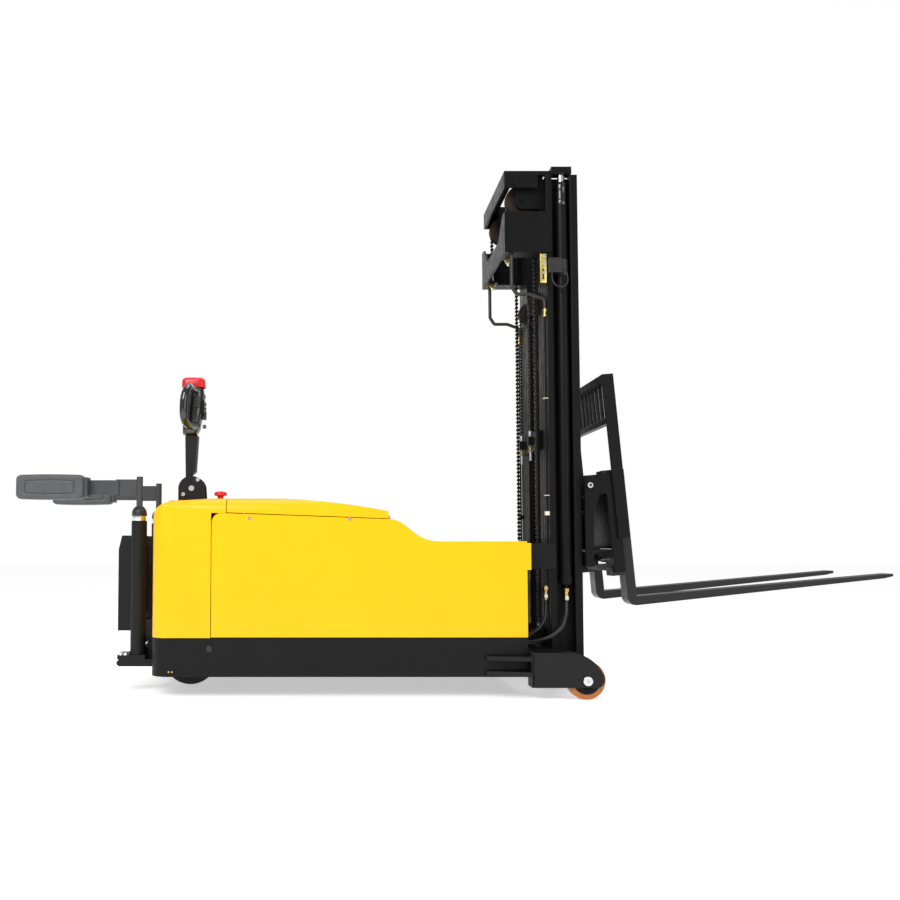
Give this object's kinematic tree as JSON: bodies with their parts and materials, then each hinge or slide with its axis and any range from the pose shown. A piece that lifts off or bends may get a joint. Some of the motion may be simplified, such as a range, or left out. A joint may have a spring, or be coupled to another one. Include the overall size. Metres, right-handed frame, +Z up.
{
  "type": "walkie stacker",
  "caption": "Counterbalanced walkie stacker with a three-stage mast, leaning fork carriage, tiller, folding operator platform and swing-out side arms.",
  "frame": {"origin": "on the floor under the middle of the machine's box", "axes": "+X towards the fork tips, +Y to the machine's left, +Z up"},
  "size_m": [3.8466, 1.06, 2.332],
  "materials": {
    "body_yellow": "gloss enamel",
    "frame_grey": "satin powder coat",
    "mast_grey": "satin powder coat",
    "fork_black": "satin",
    "machined_steel": "zinc plated",
    "chrome_rod": "polished",
    "cast_housing": "painted casting",
    "aluminium_fins": "as cast",
    "polyurethane": "cast polyurethane",
    "black_tyre": "worn",
    "chain_steel": "oiled",
    "hose_rubber": "satin",
    "pad_foam": "moulded skin",
    "mat_rubber": "ribbed",
    "black_plastic": "fine texture",
    "gloss_black": "gloss",
    "red_plastic": "gloss",
    "battery_plastic": "moulded"
  },
  "bodies": {
    "chassis": {"chassis_frame": "frame_grey", "rear_cover": "body_yellow", "right_side_cover": "body_yellow", "left_side_cover": "body_yellow", "front_deck": "body_yellow", "battery": "battery_plastic", "hydraulic_unit": "cast_housing", "motor_controller": "aluminium_fins", "rear_brackets": "frame_grey", "armrest_posts": "frame_grey", "right_wheel_bracket": "frame_grey", "left_wheel_bracket": "frame_grey", "bolts_and_pins": "machined_steel", "right_outer_rail": "mast_grey", "left_outer_rail": "mast_grey", "outer_mast_ties": "mast_grey", "chain_anchor_bracket": "mast_grey", "lift_cylinders": "mast_grey", "hydraulic_pipes": "mast_grey", "hydraulic_hoses": "hose_rubber", "limit_switch": "black_plastic", "lift_chains_rear": "chain_steel"},
    "hood": {"battery_hood": "body_yellow"},
    "platform": {"step_platform": "frame_grey", "platform_mat": "mat_rubber"},
    "right_arm": {"right_side_arm": "frame_grey", "right_arm_pad": "pad_foam"},
    "left_arm": {"left_side_arm": "frame_grey", "left_arm_pad": "pad_foam"},
    "steering": {"tiller_base": "frame_grey", "tiller_pin": "machined_steel", "drive_unit": "cast_housing"},
    "drive_wheel": {"drive_wheel": "black_tyre"},
    "tiller": {"tiller_arm": "frame_grey", "tiller_head": "black_plastic", "tiller_handle": "gloss_black"},
    "throttle": {"throttle_paddles": "black_plastic"},
    "reverse_button": {"reverse_button": "red_plastic"},
    "lift_rocker": {"lift_rocker": "black_plastic"},
    "horn_button": {"horn_button": "gloss_black"},
    "stop_button": {"stop_button": "red_plastic"},
    "right_load_wheel": {"right_load_wheel": "polyurethane"},
    "left_load_wheel": {"left_load_wheel": "polyurethane"},
    "middle_mast": {"middle_mast": "mast_grey", "crosshead": "mast_grey", "lift_rods": "chrome_rod", "lift_chains_front": "chain_steel"},
    "chain_wheels": {"chain_wheels": "machined_steel"},
    "inner_mast": {"inner_mast": "mast_grey", "free_lift_cylinder": "mast_grey"},
    "free_lift_head": {"free_lift_head": "mast_grey", "free_lift_chains": "chain_steel"},
    "free_lift_wheels": {"free_lift_wheels": "machined_steel"},
    "carriage": {"carriage": "mast_grey", "tilt_ram_barrels": "mast_grey"},
    "tilt_rods": {"tilt_ram_rods": "chrome_rod"},
    "fork_frame": {"fork_frame": "mast_grey", "load_backrest": "mast_grey"},
    "right_fork": {"right_fork": "fork_black"},
    "left_fork": {"left_fork": "fork_black"}
  },
  "joints": [
    {"name": "hood_hinge", "type": "hinge", "parent": "chassis", "child": "hood", "pos_m": [-0.283, 0, 0.764], "axis": [0, 1, 0], "range_deg": [0, 75]},
    {"name": "platform_fold", "type": "hinge", "parent": "chassis", "child": "platform", "pos_m": [-1.396, 0, 0.215], "axis": [0, 1, 0], "range_deg": [-90, 0]},
    {"name": "right_arm_swing", "type": "hinge", "parent": "chassis", "child": "right_arm", "pos_m": [-1.39, -0.25, 0.6], "axis": [0, 0, 1], "range_deg": [0, 90]},
    {"name": "left_arm_swing", "type": "hinge", "parent": "chassis", "child": "left_arm", "pos_m": [-1.39, 0.25, 0.6], "axis": [0, 0, 1], "range_deg": [-90, 0]},
    {"name": "steer", "type": "hinge", "parent": "chassis", "child": "steering", "pos_m": [-1.187, 0, 0.3], "axis": [0, 0, 1], "range_deg": [-75, 75]},
    {"name": "drive_wheel_spin", "type": "hinge", "parent": "steering", "child": "drive_wheel", "pos_m": [-1.187, 0, 0.125], "axis": [0, 1, 0], "continuous": true},
    {"name": "tiller_tilt", "type": "hinge", "parent": "steering", "child": "tiller", "pos_m": [-1.187, 0, 0.906], "axis": [0, 1, 0], "range_deg": [-65, 0], "stiffness_Nm_per_rad": 20, "springref_deg": 34.38},
    {"name": "throttle_twist", "type": "hinge", "parent": "tiller", "child": "throttle", "pos_m": [-1.161, 0, 1.31], "axis": [0, 1, 0], "range_deg": [-25, 25], "stiffness_Nm_per_rad": 1.5},
    {"name": "reverse_push", "type": "slide", "parent": "tiller", "child": "reverse_button", "axis": [0, 0, -1], "range_m": [0, 0.004], "stiffness_N_per_m": 900, "springref_m": -0.004},
    {"name": "lift_rocker_tilt", "type": "hinge", "parent": "tiller", "child": "lift_rocker", "pos_m": [-1.138, 0, 1.255], "axis": [0, 1, 0], "range_deg": [-6, 6], "stiffness_Nm_per_rad": 1},
    {"name": "horn_push", "type": "slide", "parent": "tiller", "child": "horn_button", "axis": [-1, 0, 0], "range_m": [0, 0.004], "stiffness_N_per_m": 400, "springref_m": -0.002},
    {"name": "stop_push", "type": "slide", "parent": "chassis", "child": "stop_button", "axis": [0, 0, -1], "range_m": [0, 0.006]},
    {"name": "right_wheel_spin", "type": "hinge", "parent": "chassis", "child": "right_load_wheel", "pos_m": [0.525, -0.476, 0.08], "axis": [0, 1, 0], "continuous": true},
    {"name": "left_wheel_spin", "type": "hinge", "parent": "chassis", "child": "left_load_wheel", "pos_m": [0.525, 0.476, 0.08], "axis": [0, 1, 0], "continuous": true},
    {"name": "mast_lift", "type": "slide", "parent": "chassis", "child": "middle_mast", "axis": [0, 0, 1], "range_m": [0, 1.35], "deforming": ["lift_chains_rear"]},
    {"name": "chain_wheel_turn", "type": "hinge", "parent": "middle_mast", "child": "chain_wheels", "pos_m": [0.327, 0, 2.205], "axis": [0, 1, 0], "range_deg": [-1290.2, 1]},
    {"name": "inner_lift", "type": "slide", "parent": "middle_mast", "child": "inner_mast", "axis": [0, 0, 1], "range_m": [0, 1.35], "deforming": ["lift_chains_front"]},
    {"name": "carriage_lift", "type": "slide", "parent": "inner_mast", "child": "carriage", "axis": [0, 0, 1], "range_m": [-0.33, 0.85]},
    {"name": "free_head_lift", "type": "slide", "parent": "inner_mast", "child": "free_lift_head", "axis": [0, 0, 1], "range_m": [-0.165, 0.425], "deforming": ["free_lift_chains"]},
    {"name": "free_wheel_turn", "type": "hinge", "parent": "free_lift_head", "child": "free_lift_wheels", "pos_m": [0.428, 0, 1.76], "axis": [0, 1, 0], "range_deg": [-542.1, 211.1]},
    {"name": "fork_tilt", "type": "hinge", "parent": "carriage", "child": "fork_frame", "pos_m": [0.589, 0, 0.902], "axis": [0, 1, 0], "range_deg": [0, 7]},
    {"name": "tilt_rod_slide", "type": "slide", "parent": "carriage", "child": "tilt_rods", "axis": [1, 0, 0], "range_m": [-0.042, 0]},
    {"name": "right_fork_shift", "type": "slide", "parent": "fork_frame", "child": "right_fork", "axis": [0, 1, 0], "range_m": [0, 0.2]},
    {"name": "left_fork_shift", "type": "slide", "parent": "fork_frame", "child": "left_fork", "axis": [0, 1, 0], "range_m": [-0.2, 0]}
  ],
  "couplings": [
    {"joint": "inner_lift", "follows": "mast_lift", "ratio": 1},
    {"joint": "chain_wheel_turn", "follows": "mast_lift", "rad_per_m": -16.667},
    {"joint": "free_head_lift", "follows": "carriage_lift", "ratio": 0.5},
    {"joint": "free_wheel_turn", "follows": "carriage_lift", "rad_per_m": -11.111},
    {"joint": "tilt_rod_slide", "follows": "fork_tilt", "m_per_rad": -0.34}
  ]
}
